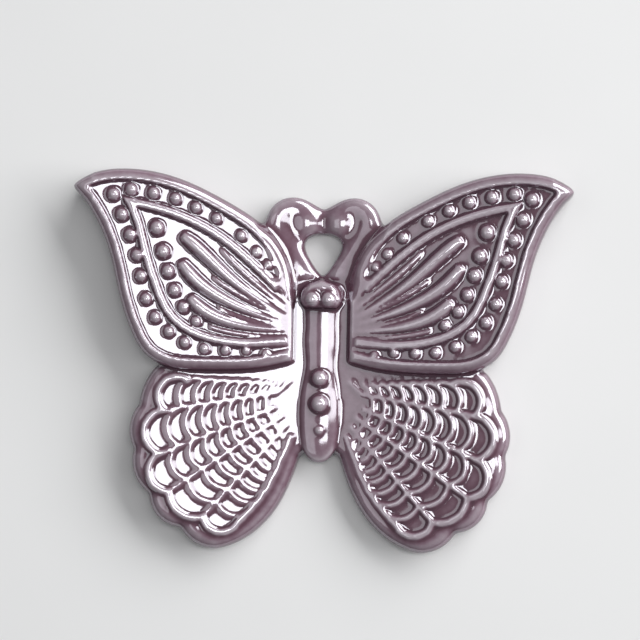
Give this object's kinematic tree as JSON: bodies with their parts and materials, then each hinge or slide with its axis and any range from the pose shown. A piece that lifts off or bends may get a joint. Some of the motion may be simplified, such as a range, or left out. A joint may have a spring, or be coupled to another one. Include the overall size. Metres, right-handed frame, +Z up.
{
  "type": "butterfly ornament",
  "caption": "Flat-backed glazed ceramic butterfly with beaded forewings, netted hindwings and antennae that curl together into a hanging loop.",
  "frame": {"origin": "on the flat back face, under the body's centre line, level with the lower edge of the forewings", "axes": "+X from wing to wing, to the viewer's right; +Y from tail to antennae; +Z up out of the back"},
  "size_m": [0.1014, 0.0761, 0.0113],
  "materials": {
    "plum_glaze": "gloss"
  },
  "bodies": {
    "root": {"body": "plum_glaze", "head": "plum_glaze", "eyes": "plum_glaze", "body_beads": "plum_glaze", "right_forewing": "plum_glaze", "right_forewing_rim": "plum_glaze", "right_forewing_border": "plum_glaze", "right_forewing_outer_beads": "plum_glaze", "right_forewing_inner_beads": "plum_glaze", "right_forewing_streaks": "plum_glaze", "right_forewing_veins": "plum_glaze", "right_hindwing": "plum_glaze", "right_hindwing_rim": "plum_glaze", "right_hindwing_net": "plum_glaze", "right_antenna": "plum_glaze", "right_antenna_curl": "plum_glaze", "left_forewing": "plum_glaze", "left_forewing_rim": "plum_glaze", "left_forewing_border": "plum_glaze", "left_forewing_outer_beads": "plum_glaze", "left_forewing_inner_beads": "plum_glaze", "left_forewing_streaks": "plum_glaze", "left_forewing_veins": "plum_glaze", "left_hindwing": "plum_glaze", "left_hindwing_rim": "plum_glaze", "left_hindwing_net": "plum_glaze", "left_antenna": "plum_glaze", "left_antenna_curl": "plum_glaze"}
  },
  "joints": []
}
